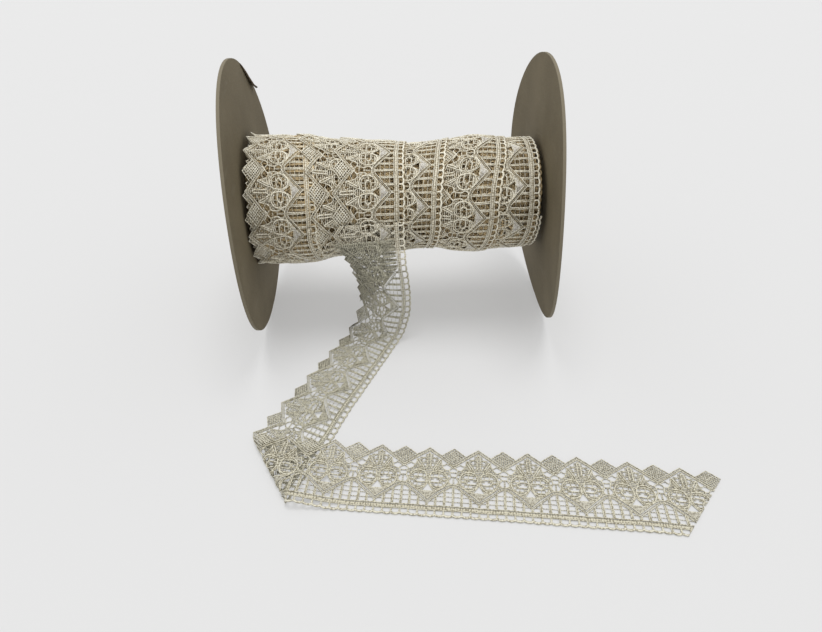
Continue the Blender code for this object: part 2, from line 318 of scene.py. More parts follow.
# Half a repeat, from the diamond's middle at u = 0 to the fan's at u = 14.8. v runs from the zigzag
# edge to the picots. Each cord has its width, its thickness and its points, in millimetres. These
# are the raised cords, which catch the light.
RAISED = (
    # zigzag edge: two cords on each band
    (0.62, 1.10, ((0, 0.5), (7.4, 6.35))),
    (0.56, 1.10, ((14.8, 0.5), (7.4, 6.35), (0, 12.2))),
    (0.56, 1.10, ((14.8, 2.5), (7.4, 8.35), (0, 14.2))),
    # fan: hairpin loops over the hub
    (0.85, 1.25, ((13.85, 15.2), (13.85, 6.8), (14.1, 5.8), (14.8, 5.3))),
    (0.80, 1.25, ((12.0, 16.9), (8.85, 10.7), (8.35, 9.8), (7.6, 9.8), (7.5, 10.8), (11.0, 17.4))),
    # hub
    (0.55, 1.00, ((14.8, 14.6), (13.3, 15.6), (11.9, 17.3), (13.2, 19.6), (14.8, 21.8))),
    # side openings below the diamond
    (0.65, 0.90, ((7.6, 9.6), (7.4, 11.6), (6.9, 13.4), (6.1, 15.4), (5.0, 16.9), (3.4, 17.3),
                  (2.3, 16.6))),
    (0.70, 0.90, ((0.0, 15.2), (1.6, 13.9), (3.0, 12.9), (4.4, 12.5))),
    # stem from the diamond to the arch
    (0.70, 0.90, ((0.4, 14.9), (2.2, 16.2), (2.7, 17.6), (2.1, 19.1), (1.9, 20.8), (1.9, 22.6),
                  (2.8, 23.8), (2.8, 25.2), (2.0, 26.6), (0, 27.2))),
    # scroll: a ring with a curl in its middle, and short strokes between them
    (0.85, 1.25, ((13.0, 19.4), (10.6, 18.2), (8.4, 18.1), (6.0, 19.0), (4.3, 21.0), (3.6, 23.8),
                  (4.1, 26.8), (5.6, 29.3), (7.9, 30.8), (10.3, 30.8), (12.3, 29.6), (13.6, 27.2),
                  (14.1, 24.4), (13.7, 21.8), (12.8, 19.4))),
    (0.75, 1.20, ((14.0, 23.0), (11.5, 22.7), (8.8, 22.7), (7.2, 23.6), (7.0, 25.2), (8.4, 26.4),
                  (11.0, 26.5), (13.4, 26.4))),
    (0.55, 1.05, ((12.2, 20.5), (10.4, 19.5), (8.5, 19.3), (6.6, 20.1), (5.3, 21.7))),
    (0.55, 1.05, ((5.2, 27.4), (6.6, 29.3), (8.8, 29.6), (11.2, 29.2))),
    (0.55, 1.00, ((8.8, 22.7), (8.6, 19.4))),
    (0.55, 1.00, ((8.6, 26.4), (8.6, 29.6))),
    (0.55, 1.00, ((7.0, 24.6), (3.8, 24.4))),
    # window under the fan, and the leaf's upper edge
    (0.65, 0.90, ((14.8, 26.6), (13.2, 29.2), (11.2, 32.4))),
    (0.70, 0.80, ((14.8, 23.4), (14.1, 24.6), (14.8, 26.0))),
    (0.65, 0.90, ((14.8, 32.6), (11.2, 32.6), (8.6, 31.5), (6.9, 30.3), (5.4, 29.0))),
    # arch: two cords on its band
    (0.56, 1.10, ((0, 28.7), (2.5, 29.7), (4.93, 31.9), (9.87, 36.2), (14.8, 40.6))),
    (0.56, 1.10, ((0, 27.1), (2.8, 27.8), (6.0, 30.2), (10.6, 34.1), (14.8, 38.2))),
    # ladder bars, each of two cords
    (0.66, 0.95, ((0.47, 28.8), (0.47, 42.2))),
    (0.66, 0.95, ((4.46, 31.5), (4.46, 42.2))),
    (0.66, 0.95, ((5.40, 32.2), (5.40, 42.2))),
    (0.66, 0.95, ((9.40, 35.7), (9.40, 42.2))),
    (0.66, 0.95, ((10.34, 36.4), (10.34, 42.2))),
    (0.66, 0.95, ((14.33, 40.4), (14.33, 42.2))),
    # double rail
    (0.62, 1.15, ((0, 42.45), (14.8, 42.45))),
    (0.62, 1.15, ((0, 45.25), (14.8, 45.25))),
    # picot loops
    (0.62, 0.85, ((0.35, 45.2), (0.35, 48.7))),
    (1.25, 0.85, ((4.93, 45.2), (4.93, 48.7))),
    (1.25, 0.85, ((9.87, 45.2), (9.87, 48.7))),
    (0.62, 0.85, ((14.45, 45.2), (14.45, 48.7))),
    (1.40, 1.05, ((0, 48.25), (1.1, 48.85), (2.47, 49.1), (3.8, 48.85), (4.93, 48.25), (6.1, 48.85),
                  (7.4, 49.1), (8.7, 48.85), (9.87, 48.25), (11.0, 48.85), (12.33, 49.1),
                  (13.7, 48.85), (14.8, 48.25))),
)
# The low filling threads and ties between them.
LOW = (
    (0.60, 0.55, ((14.8, 1.5), (7.4, 7.35), (0, 13.2))),
    (0.60, 0.55, ((0, 27.9), (2.6, 28.7), (5.4, 31.1), (10.2, 35.2), (14.8, 39.4))),
    (2.40, 0.60, ((0, 43.85), (14.8, 43.85))),
    (0.50, 0.60, ((0, 28.8), (0, 42.2))),
    (0.50, 0.60, ((4.93, 31.8), (4.93, 42.2))),
    (0.50, 0.60, ((9.87, 36.0), (9.87, 42.2))),
    (0.50, 0.60, ((14.8, 40.6), (14.8, 42.2))),
    (0.60, 0.70, ((13.6, 8.4), (11.4, 8.6), (10.0, 9.4))),
    (0.60, 0.70, ((9.6, 11.9), (11.4, 12.2), (13.6, 12.0))),
    (0.60, 0.70, ((7.6, 12.2), (8.6, 14.4), (9.6, 16.2))),
    (0.60, 0.70, ((4.4, 12.5), (5.2, 13.4), (6.8, 13.6))),
    (0.80, 0.70, ((0, 18.5), (2.3, 18.5))),
    (0.90, 0.70, ((0, 21.8), (2.0, 21.8))),
    (0.50, 0.70, ((0.27, 21.8), (0.27, 26.8))),
    (0.70, 0.70, ((3.0, 19.0), (4.4, 20.2))),
    (0.80, 0.70, ((2.2, 22.4), (3.8, 22.6))),
    (0.80, 0.70, ((2.8, 25.6), (4.0, 26.2))),
    (0.70, 0.70, ((4.6, 17.3), (5.6, 18.8))),
    (0.70, 0.70, ((7.6, 14.4), (8.0, 16.2), (8.7, 18.1))),
    (0.70, 0.70, ((6.4, 15.4), (8.2, 16.4), (10.4, 16.9))),
    (0.80, 0.70, ((2.0, 26.7), (4.4, 28.4), (5.4, 29.0))),
    (0.80, 0.70, ((10.4, 30.6), (9.8, 32.0))),
    (0.45, 0.45, ((0, 32.9), (4.93, 32.8), (5.9, 32.9))),
    (0.45, 0.45, ((0, 36.0), (4.93, 35.9), (9.4, 36.0))),
    (0.45, 0.45, ((0, 39.2), (4.93, 39.1), (9.87, 39.2), (13.0, 39.2))),
)
# The ground of the fan and its scrolls: close rows of stitches along the ribbon, low between the
# cords, broken by small oval eyes, each given as its middle and its half sizes.
GROUND = ((14.8, 3.6), (7.6, 9.6), (7.3, 12.0), (6.7, 14.2), (5.6, 16.6), (3.6, 17.5), (2.4, 19.4),
          (2.1, 22.8), (2.9, 24.4), (2.6, 26.4), (5.4, 28.9), (8.6, 31.4), (11.4, 32.4), (13.2, 29.2),
          (14.8, 26.8))
EYES = ((11.6, 6.4, 0.9, 0.9), (11.6, 9.9, 0.9, 0.9), (12.5, 13.2, 0.5, 0.7), (9.6, 13.6, 0.5, 0.8),
        (7.6, 15.9, 0.6, 0.7), (8.8, 21.1, 2.6, 0.85), (10.6, 24.6, 2.6, 0.9), (5.6, 23.2, 0.8, 0.7),
        (5.6, 25.9, 0.7, 0.7), (8.7, 28.0, 2.4, 0.75), (12.7, 21.2, 0.5, 0.6), (3.0, 20.9, 0.5, 0.6))
GROUND_PITCH = 1.3
GROUND_SIZE = (0.92, 0.55)
# The netted diamond: threads laid both ways between its four corners.
DIAMOND = ((0.0, 0.8), (6.9, 6.35), (0.0, 11.9), (-6.9, 6.35))
NET_THREADS = 5
NET_SIZE = (0.72, 0.85)
# The satin leaf: floats between the top of the leaf and the arch's two sides.
LEAF = ((14.8, 32.8), (11.2, 32.8), (8.8, 31.8), (10.8, 34.2), (14.8, 38.2))
LEAF_PITCH = 0.58
LEAF_SIZE = (0.56, 1.0)
# No stitch is shorter than this.
SHORTEST_STITCH = 0.3
# How finely cords are drawn: the longest piece of a curve, of a curve of the plain repeat, and of a
# straight run. A line is a curve where it turns by more than SOFT_BEND, in radians, and its bends
# past SHARP_BEND are mitred, up to MITRE_LIMIT times the cord's width.
BEND_STEP = 1.5
PLAIN_BEND_STEP = 4.5
STRAIGHT_STEP = 5.2
SOFT_BEND = 0.15
SHARP_BEND = 0.2
MITRE_LIMIT = 1.5
# A cord's end is on a middle line within CLOSE, and is joined across it if it runs at least so level.
CLOSE = 0.001
LEVEL = 0.3
# Points nearer than this are one point.
MERGE = 0.004
# Raised cords stand proud on the front alone, so the back is nearly flat.
BACK = 0.29
# Stitch pattern units, and the three kinds of stitching in their material slots.
WRAP = 0.01
CORD, FILLING, SATIN = 0, 1, 2


def smooth_line(points, step):
    """A line through the points, in short pieces where it bends and in long ones where it's straight."""
    points = [Vector(point) for point in points]
    if len(points) < 3:
        count = max(1, math.ceil((points[1] - points[0]).length / STRAIGHT_STEP))
        return [points[0].lerp(points[1], index / count) for index in range(count + 1)]
    line = []
    for index in range(len(points) - 1):
        start, end = points[index], points[index + 1]
        before = points[index - 1] if index else start
        after = points[index + 2] if index + 2 < len(points) else end
        turn = (start - before).angle(end - start, 0.0) if index else 0.0
        turn += (end - start).angle(after - end, 0.0) if index + 2 < len(points) else 0.0
        length = (end - start).length
        count = max(1, round(length / step) if turn > SOFT_BEND else math.ceil(length / STRAIGHT_STEP))
        for piece in range(count):
            t = piece / count
            line.append(0.5 * (2 * start + (end - before) * t
                               + (2 * before - 5 * start + 4 * end - after) * t * t
                               + (3 * start - before - 3 * end + after) * t ** 3))
    line.append(points[-1])
    return line


def lay_cord(form, wraps, line, width, thickness, sides, material):
    """Sweep one flattened cord along a line. An end on a middle line is mitred and left open there."""
    middle = max(thickness / 2.0 - BACK, 0.0)
    rings = []
    joined = []
    reach = 0.0
    for index, point in enumerate(line):
        back = line[max(index - 1, 0)]
        on = line[min(index + 1, len(line) - 1)]
        way = (on - back).normalized()
        side = Vector((-way.y, way.x))
        if index in (0, len(line) - 1):
            on_middle = min(abs(point.x), abs(abs(point.x) - HALF)) < CLOSE and abs(way.x) > LEVEL
            joined.append(on_middle)
            if on_middle:
                side = Vector((0.0, math.copysign(1.0 / abs(way.x), side.y)))
        elif (point - back).angle(on - point, 0.0) > SHARP_BEND:
            bend = (point - back).angle(on - point) / 2.0
            side *= min(1.0 / math.cos(bend), MITRE_LIMIT)
        if index:
            reach += (point - back).length
        ring = []
        for corner in range(sides):
            angle = 2.0 * math.pi * (corner + 0.5) / sides
            spot = point + side * (math.cos(angle) * width / 2.0)
            height = middle + math.sin(angle) * thickness / 2.0
            ring.append(form.verts.new((spot.x, spot.y, height)))
        rings.append((ring, reach))
    for (ring, start), (after, end) in zip(rings, rings[1:]):
        for corner in range(sides):
            over = (corner + 1) % sides
            face = form.faces.new((ring[corner], after[corner], after[over], ring[over]))
            face.material_index = material
            places = ((start, corner), (end, corner), (end, corner + 1), (start, corner + 1))
            for loop, (u, v) in zip(face.loops, places):
                loop[wraps].uv = (u * WRAP, v / sides)
    if not joined[0]:
        form.faces.new(rings[0][0]).material_index = material
    if not joined[1]:
        form.faces.new(rings[-1][0][::-1]).material_index = material


def lace_lines():
    """Every cord of one whole repeat: its line, width, thickness and material."""
    lines = []
    for material, table in ((CORD, RAISED), (FILLING, LOW)):
        for width, thickness, points in table:
            for mirror in (1.0, -1.0):
                lines.append(([Vector((u * mirror, v)) for u, v in points], width, thickness, material))
    corners = [Vector(corner) for corner in DIAMOND]
    for index in range(1, NET_THREADS + 1):
        share = index / (NET_THREADS + 1.0)
        for first, second in ((0, 3), (1, 2)), ((0, 1), (3, 2)):
            start = corners[first[0]].lerp(corners[first[1]], share)
            end = corners[second[0]].lerp(corners[second[1]], share)
            lines.append(([start, end], *NET_SIZE, CORD))
    filled = ((GROUND, EYES, GROUND_PITCH, GROUND_SIZE, FILLING), (LEAF, (), LEAF_PITCH, LEAF_SIZE, SATIN))
    for outline, eyes, pitch, size, material in filled:
        for v, start, end in stitch_rows(outline, eyes, pitch):
            for mirror in (1.0, -1.0):
                lines.append(([Vector((start * mirror, v)), Vector((end * mirror, v))], *size, material))
    return lines


def stitch_rows(outline, eyes, pitch):
    """Rows of stitches inside an outline: where each lies, starts and ends along the ribbon."""
    rows = []
    v = min(corner[1] for corner in outline) + pitch / 2.0
    while v < max(corner[1] for corner in outline):
        cuts = []
        for (u0, v0), (u1, v1) in zip(outline, outline[1:] + outline[:1]):
            if (v0 - v) * (v1 - v) < 0.0:
                cuts.append(u0 + (u1 - u0) * (v - v0) / (v1 - v0))
        cuts.sort()
        for start, end in zip(cuts[::2], cuts[1::2]):
            holes = []
            for u, w, wide, tall in eyes:
                if abs(v - w) < tall:
                    reach = wide * math.sqrt(1.0 - ((v - w) / tall) ** 2)
                    holes.append((u - reach, u + reach))
            for low, high in sorted(holes):
                if low > start + SHORTEST_STITCH:
                    rows.append((v, start, min(low, end)))
                start = max(start, high)
            if end > start + SHORTEST_STITCH:
                rows.append((v, start, end))
        v += pitch
    return rows


def make_repeat(name, fine):
    """One repeat of the lace, flat, as its own mesh: u along X, v along Y, in millimetres. A fine one
    has rounder cords and smoother curves than a plain one, for turns that hardly show."""
    form = bmesh.new()
    wraps = form.loops.layers.uv.new("wraps")
    for points, width, thickness, material in lace_lines():
        line = smooth_line(points, BEND_STEP if fine else PLAIN_BEND_STEP)
        sides = 6 if fine and material == CORD and (width, thickness) != NET_SIZE else 4
        lay_cord(form, wraps, line, width, thickness, sides, material)
    bmesh.ops.remove_doubles(form, verts=form.verts, dist=MERGE)
    bmesh.ops.recalc_face_normals(form, faces=form.faces)
    mesh = bpy.data.meshes.new(name)
    form.to_mesh(mesh)
    form.free()
    return mesh


def lace_strip(name, repeat, first, count, materials):
    """A flat strip of whole repeats, as one object; the first diamond lies at u = first."""
    mesh = repeat.copy()
    mesh.transform(Matrix.Translation((first, 0.0, 0.0)))
    piece = bpy.data.objects.new(name, mesh)
    bpy.context.scene.collection.objects.link(piece)
    select_only(piece)
    copies = piece.modifiers.new("repeats", "ARRAY")
    copies.count = count
    copies.use_relative_offset = False
    copies.use_constant_offset = True
    copies.constant_offset_displace = (REPEAT, 0.0, 0.0)
    copies.use_merge_vertices = True
    copies.merge_threshold = MERGE
    bpy.ops.object.modifier_apply(modifier=copies.name)
    mesh = piece.data
    mesh.name = name
    for material in materials:
        mesh.materials.append(material)
    mesh.shade_smooth()
    return piece


def trim(piece, point, way):
    """Cut a piece along a plane, close the cut cords, and drop what lies on the side that it faces."""
    select_only(piece)
    bpy.ops.object.mode_set(mode="EDIT")
    bpy.ops.mesh.select_all(action="SELECT")
    bpy.ops.mesh.bisect(plane_co=point, plane_no=way, use_fill=True, clear_outer=True)
    bpy.ops.object.mode_set(mode="OBJECT")


# The finishes: the pitch of stitches and of the wraps round a cord, in millimetres, and the colours,
# each in the light and in its own shade.
STITCH = 1.5
WRAP_PITCH = 0.55
PAINTED_GLINTS = 2.0
STITCHED = 0.25
IVORY = (0.95, 0.91, 0.765)
IVORY_SHADE = (0.50, 0.43, 0.28)
# The filling is painted darker than the cords: painted shade, for it lies low between them.
LOW_IVORY = (0.76, 0.71, 0.57)
LOW_SHADE = (0.32, 0.27, 0.17)
SATIN_IVORY = (0.93, 0.90, 0.82)
SATIN_SHADE = (0.50, 0.44, 0.33)
# Painted shade of the loose end.
LOOSE_SHADED = (0.54, 0.515, 0.395)
LOOSE_SHADED_DARK = (0.20, 0.183, 0.122)
# Painted shade: the tan of thread that lies under a covering turn.
TURN_SHADE_TAN = (0.66, 0.51, 0.28)
TURN_SHADE_DARK = (0.34, 0.245, 0.115)
# Painted shade: the turns deep in the roll are drawn in this darker tan lace.
SHADED_INNER = (0.48, 0.36, 0.16)
SHADED_INNER_DARK = (0.28, 0.19, 0.07)


def lace_material(name, light, shade, stitched=0.0):
    """Rayon thread: a silky sheen, fine wraps round each cord, a painted highlight on each cord's crown
    with painted shade on its sides, painted glints and slightly uneven dye. Stitches show as pale dots
    along a filling. Thread under a turn is painted tan and the loose end darker, both as painted shade."""
    sheen = {"Specular_IOR_Level": 0.7, "Sheen_Weight": 0.3, "Sheen_Roughness": 0.35}
    made, shader, start = new_material(name, 0.36, **sheen)
    place = start.node("ShaderNodeTexCoord", output=3)
    wraps = start.node("ShaderNodeUVMap", {"uv_map": "wraps"})
    along_cord = wraps.part(0)
    around = wraps.part(1)
    twist = ((along_cord * (1.0 / WRAP / WRAP_PITCH) + around * 2.0) * (2.0 * math.pi)).wave()
    # Painted highlight and shade: each cord's crown is painted paler and its sides darker.
    crown_highlight = ((around + 0.1) * (2.0 * math.pi)).wave()
    crown_highlight = (crown_highlight * crown_highlight).band(0.0, 0.9)
    dye = start.noise(place, 90.0, 2.0)
    fuzz = start.noise(place, 1300.0, 2.0)
    # Painted glints: scattered pale and dark specks in the colour stand for the thread's sparkle.
    painted_glints = (start.noise(place, 950.0, 1.0) - 0.5) * PAINTED_GLINTS
    dots = (along_cord * (2.0 * math.pi / WRAP / STITCH)).wave()
    tone = dye * 0.3 + fuzz * 0.5 + painted_glints + twist * 0.1 + crown_highlight * 0.25 + dots * stitched + 0.02
    tone = tone.band(0.25, 0.75)
    # Painted shade where another turn covers the thread.
    turn_shade = start.node("ShaderNodeAttribute", {"attribute_name": "turn_shade"}, output=2)
    # Painted shade on the loose end.
    loose_shade = start.node("ShaderNodeAttribute", {"attribute_name": "loose_shade"}, output=2)
    seen = loose_shade.mix(tone.mix(shade, light), tone.mix(LOOSE_SHADED_DARK, LOOSE_SHADED))
    plug(shader, "Base Color", turn_shade.mix(seen, tone.mix(TURN_SHADE_DARK, TURN_SHADE_TAN)))
    plug(shader, "Roughness", fuzz * 0.5 + 0.1)
    plug(shader, "Normal", (twist * 0.4 + fuzz).bump(0.6, 0.0002))
    return made


outer_stitching = (lace_material("ivory_cord", IVORY, IVORY_SHADE),
                   lace_material("ivory_filling", LOW_IVORY, LOW_SHADE, STITCHED),
                   lace_material("ivory_satin", SATIN_IVORY, SATIN_SHADE))
shaded_inner_stitching = (lace_material("shaded_inner_lace", SHADED_INNER, SHADED_INNER_DARK),) * 3
fine_repeat = make_repeat("fine_repeat", True)
plain_repeat = make_repeat("plain_repeat", False)


# The wound ribbon. It runs twice along the spool: a lower pass from the left flange to the right one,
# and an upper pass back again, each turn lapping over the next. The last upper turn comes over the
# top to the front, where the loose end leaves it. All turns are the same lace, drawn tight.
AXIS_DEPTH = -1.7
RAIL_AT = 44.0
ROLL_PROFILE = (
    # place along the spool, outer radius
    (-102.0, 45.6), (-66.0, 46.0), (-45.0, 42.9), (-15.0, 40.2), (15.0, 38.4), (55.0, 42.3),
    (78.0, 40.4), (97.0, 39.8),
)
# The winding angle is in degrees, counted down the front from the top, and goes on from turn to turn.
UPPER_RAIL = (
    # winding angle and where the rail lies along the spool
    (-430, 92.0), (-72, 90.0), (-43, 89.2), (-18, 89.0), (20, 88.6), (288, 68.6), (317, 64.2),
    (340, 61.6), (385, 60.1), (632, 28.3), (679, 23.4), (699, 22.0), (749, 20.7), (1000, -1.5),
    (1057, -3.1), (1081, -3.3),
)
UPPER_DIAMONDS = (
    # winding angle and how many repeats along the pass a diamond lies there
    (-442.0, -10.0), (-10.0, 0.0), (336.0, 8.0), (684.5, 16.0), (1071.5, 25.0), (1114.0, 26.0),
)
UPPER_WIDTH = (
    # winding angle and the share of the full width: drawn in a little on the last turn
    (700.0, 1.0), (900.0, 0.965), (1020.0, 0.965), (1080.0, 1.0),
)
LOWER_RAIL = (
    (-430, -61.0), (-72, -62.7), (-25, -61.7), (24, -62.1), (288, -24.0), (335, -19.7), (393, -18.9),
    (650, 14.0), (750, 20.0), (1010, 54.0), (1110, 58.0), (1370, 88.0), (1500, 91.5),
)
LOWER_DIAMONDS = (
    (-429.2, -11.0), (-14.4, 0.0), (330.2, 9.0), (690.0, 18.0), (1050.0, 26.5), (1470.0, 36.0),
)
LOWER_WIDTH = ((0.0, 0.92), (300.0, 0.96))
# A turn dips by STEP under the edge of its neighbour and comes back up over about FADE. Only the last
# upper turn lies on top of all. LOWER_LAP is where the lower turns lap over the left-hand one.
STEP = 1.25
FADE = 10.0
LAST_TURN_START = 720.0
LOWER_LAP = -46.5
# Lower turns lie this much deeper where the upper pass covers them, from here on.
COVERED_DROP = 1.4
COVERED_FROM = -42.0
COVERED_OVER = 24.0
# Thread under a covering turn is painted tan, as painted shade, from TURN_SHADE_FROM past the
# covering edge, and is all painted tan TURN_SHADE_OVER on.
TURN_SHADE_FROM = 3.0
TURN_SHADE_OVER = 6.0
UPPER_TURN_SHADE_OVER = 1.5
# The zigzag tips splay off the roll by the left flange, less on the spool's lower side.
FLARE_LIFT = 2.6
FLARE_FROM = -98.0
FLARE_OVER = 6.0
FLARE_LEAST = 0.35
# How far thread wanders: its size, its slow and quick pace, and the quick one's share.
WANDER = 0.35
WANDER_SLOW = 0.11
WANDER_QUICK = 0.8
QUICK_SHARE = 0.35
WANDER_SEED = 1


def blend(table, place):
    """The value at a place in a table of (place, value) rows, eased between rows and held past the ends."""
    if place <= table[0][0]:
        return table[0][1]
    for (start, low), (end, high) in zip(table, table[1:]):
        if place <= end:
            share = (place - start) / (end - start)
            return low + (high - low) * share * share * (3.0 - 2.0 * share)
    return table[-1][1]


def along(table, place):
    """The value at a place in a table, in straight runs between rows, and on past the ends."""
    rows = list(zip(table, table[1:]))
    for (start, low), (end, high) in rows:
        if place <= end:
            break
    return low + (high - low) * (place - start) / (end - start)


def curve(table, place):
    """The value at a place in a table, on a smooth curve through its rows."""
    last = len(table) - 2
    index = 0
    while index < last and table[index + 1][0] < place:
        index += 1
    (x0, y0), (x1, y1) = table[index], table[index + 1]
    before, after = table[max(index - 1, 0)], table[min(index + 2, last + 1)]
    span = x1 - x0
    t = min(max((place - x0) / span, 0.0), 1.0)
    into = (y1 - before[1]) / (x1 - before[0]) * span
    out = (after[1] - y0) / (after[0] - x0) * span
    eased = t * t * (3.0 - 2.0 * t)
    return y0 * (1.0 - eased) + y1 * eased + into * t * (1.0 - t) ** 2 - out * t * t * (1.0 - t)


def ease(value):
    """Smooth rise from 0 to 1 as the value goes from 0 to 1."""
    share = min(max(value, 0.0), 1.0)
    return share * share * (3.0 - 2.0 * share)


def upper_lift(x, turned):
    """How far an upper turn dips under its left-hand neighbour, wound after it, and how much painted
    shade it gets there.
    """
    if turned > LAST_TURN_START:
        return 0.0, 0.0
    edge = curve(UPPER_RAIL, turned + 360.0) + (RIBBON_WIDTH - RAIL_AT)
    dip = STEP * math.exp(-max(x - edge, 0.0) / FADE)
    return -dip, ease((edge - x) / UPPER_TURN_SHADE_OVER + 0.5)


def covered(x):
    """How much deeper the upper pass presses what lies under it."""
    return COVERED_DROP * ease((x - COVERED_FROM) / COVERED_OVER)


def flare(x, turned):
    """How far the zigzag tips at the left flange splay off the roll, mostly on its upper side."""
    upper_side = max(0.0, -math.sin(math.radians(turned)))
    return FLARE_LIFT * ease((FLARE_FROM - x) / FLARE_OVER) * (FLARE_LEAST + (1.0 - FLARE_LEAST) * upper_side)


def lower_lift(x, turned):
    """How far a lower turn dips under the lower turn to its right and under the upper pass, and how
    much painted shade it gets there."""
    dip = STEP * math.exp(-max(LOWER_LAP - x, 0.0) / FADE)
    edge = curve(UPPER_RAIL, LAST_TURN_START + turned % 360.0) - UPPER_WIDTH[1][1] * RAIL_AT
    turn_shade = ease((x - edge - TURN_SHADE_FROM) / TURN_SHADE_OVER)
    if turned < 0.0:
        edge = curve(LOWER_RAIL, turned + 360.0) - LOWER_WIDTH[1][1] * RAIL_AT
        dip = max(dip, STEP * math.exp(-max(edge - x, 0.0) / FADE))
        turn_shade = max(turn_shade, ease((x - edge - TURN_SHADE_FROM) / TURN_SHADE_OVER))
    return flare(x, turned) - dip - covered(x), turn_shade


# The seed keeps the wander the same each time that the script runs.
noise.seed_set(WANDER_SEED)


def wobble(u, v, seed, size):
    """A small smooth wander of a point of the lace, as real thread has."""
    slow = noise.noise_vector(Vector((u * WANDER_SLOW, v * WANDER_SLOW, seed)))
    quick = noise.noise_vector(Vector((u * WANDER_QUICK, v * WANDER_QUICK, seed + 0.5)))
    return slow * size + quick * size * QUICK_SHARE


def wind(piece, rail, diamonds, lift, width, seed):
    """Lay a flat strip of a pass on the roll."""
    turns = tuple((count * REPEAT, angle) for angle, count in diamonds)
    # How much painted shade each point of a turn gets, where other turns cover it.
    turn_shade = piece.data.attributes.new("turn_shade", "FLOAT", "POINT")
    for vertex in piece.data.vertices:
        u, v, h = vertex.co
        shift = wobble(u, v, seed, WANDER)
        turned = along(turns, u + shift.x)
        x = curve(rail, turned) + (v + shift.y - RAIL_AT) * blend(width, turned)
        rise, turn_shade.data[vertex.index].value = lift(x, turned)
        radius = blend(ROLL_PROFILE, x) - LACE / 2.0 + rise + h + shift.z * 0.5
        angle = -math.radians(turned)
        forward, up = radius * math.cos(angle), radius * math.sin(angle)
        vertex.co = spool_point(x, AXIS_DEPTH - forward, AXIS_HEIGHT + up)


def cut_at(piece, diamonds, turned, keep_before):
    """Cut a flat strip straight across at a winding angle."""
    place = along(diamonds, turned) * REPEAT
    trim(piece, (place, 0.0, 0.0), (1.0 if keep_before else -1.0, 0.0, 0.0))


def make_turn(name, start, end, rail, diamonds, lift, width, repeat, seed):
    """One turn of a pass, from its strip of flat lace."""
    first = math.floor(along(diamonds, start))
    last = math.ceil(along(diamonds, end))
    # Turns with the plain repeat lie deep in the roll and get the darker lace: painted shade.
    stitching = outer_stitching if repeat == fine_repeat else shaded_inner_stitching
    piece = lace_strip(name, repeat, first * REPEAT, last - first + 1, stitching)
    cut_at(piece, diamonds, start, False)
    cut_at(piece, diamonds, end, True)
    wind(piece, rail, diamonds, lift, width, seed)
    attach(piece, "root")
    return piece


# Each turn's winding angles at its start and end, its repeat and the seed of its wander.
UPPER_TURNS = (
    ("upper_turn_right", -360.0, 0.0, fine_repeat, 0),
    ("upper_turn_inner", 0.0, 360.0, fine_repeat, 1),
    ("upper_turn_middle", 360.0, 720.0, fine_repeat, 2),
    ("upper_turn_last", 720.0, 1080.0, fine_repeat, 3),
)
LOWER_TURNS = (
    ("lower_turn_left", -360.0, 0.0, fine_repeat, 10),
    ("lower_turn_second", 0.0, 505.0, fine_repeat, 11),
    ("lower_turn_third", 505.0, 720.0, plain_repeat, 20),
    ("lower_turn_fourth", 720.0, 1080.0, plain_repeat, 21),
    ("lower_turn_right", 1080.0, 1440.0, plain_repeat, 22),
)
for name, start, end, repeat, seed in UPPER_TURNS:
    turn = make_turn(name, start, end, UPPER_RAIL, UPPER_DIAMONDS, upper_lift, UPPER_WIDTH, repeat, seed)
    if name == "upper_turn_right":
        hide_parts("lace_roll")
for name, start, end, repeat, seed in LOWER_TURNS:
    make_turn(name, start, end, LOWER_RAIL, LOWER_DIAMONDS, lower_lift, LOWER_WIDTH, repeat, seed)


# The older turns. Under both passes lie more of the same lace, drawn here as plain rings that show
# only through the gaps above them, one and then two thicknesses further down, in painted shade.
DEEP_RAILS = (-20.0, 18.0, 55.0, 91.0)
DEEP_DROP = 2.6
DEEP_SKEW = 2.0
DEEP_SHIFT = 0.37
DEEP_REPEATS = 8.0
DEEP_WIDTH = ((0.0, 0.96),)
DEEP_SEED = 30


def deep_lift(x, turned):
    """How far down the older turns lie, all of them in full painted shade."""
    return -DEEP_DROP - covered(x), 1.0


for index, place in enumerate(DEEP_RAILS):
    rail = ((0.0, place), (180.0, place + DEEP_SKEW), (360.0, place))
    diamonds = ((0.0, index * DEEP_SHIFT), (360.0, index * DEEP_SHIFT + DEEP_REPEATS))
    make_turn(f"deep_turn_{index}", 0.0, 360.0, rail, diamonds, deep_lift, DEEP_WIDTH, plain_repeat,
              DEEP_SEED + index)


# The tips by the left flange. Each older turn there ends in the same zigzag, so that its points show
# one behind the other, spread a little like the pages of a book.
TIP_RINGS = (
    # rail place, how far down, and the share of a repeat that its tips are turned by
    (-62.6, -1.3, 0.25), (-60.9, -2.7, 0.02), (-61.8, -4.0, 0.72),
)
TIP_SKEW = ((0.0, 0.0), (100.0, -1.2), (220.0, 0.9), (360.0, 0.0))
TIP_REPEATS = 9.0
TIP_SPREAD = 1.5
TIP_TURN_SHADE_FROM = -100.0
TIP_TURN_SHADE_OVER = 5.0
TIP_WIDTH = ((0.0, 0.94),)
TIP_SEED = 40


def tip_lift(drop):
    """The lift of a ring of tips that lies so far down: all but what is near the flange gets painted shade.
    """
    def lift(x, turned):
        turn_shade = ease((x - TIP_TURN_SHADE_FROM) / TIP_TURN_SHADE_OVER)
        return drop + TIP_SPREAD * flare(x, turned), turn_shade
    return lift


for index, (place, drop, shift) in enumerate(TIP_RINGS):
    rail = tuple((turned, place + skew) for turned, skew in TIP_SKEW)
    diamonds = ((0.0, shift), (360.0, shift + TIP_REPEATS))
    make_turn(f"tip_turn_{index}", 0.0, 360.0, rail, diamonds, tip_lift(drop), TIP_WIDTH, fine_repeat,
              TIP_SEED + index)


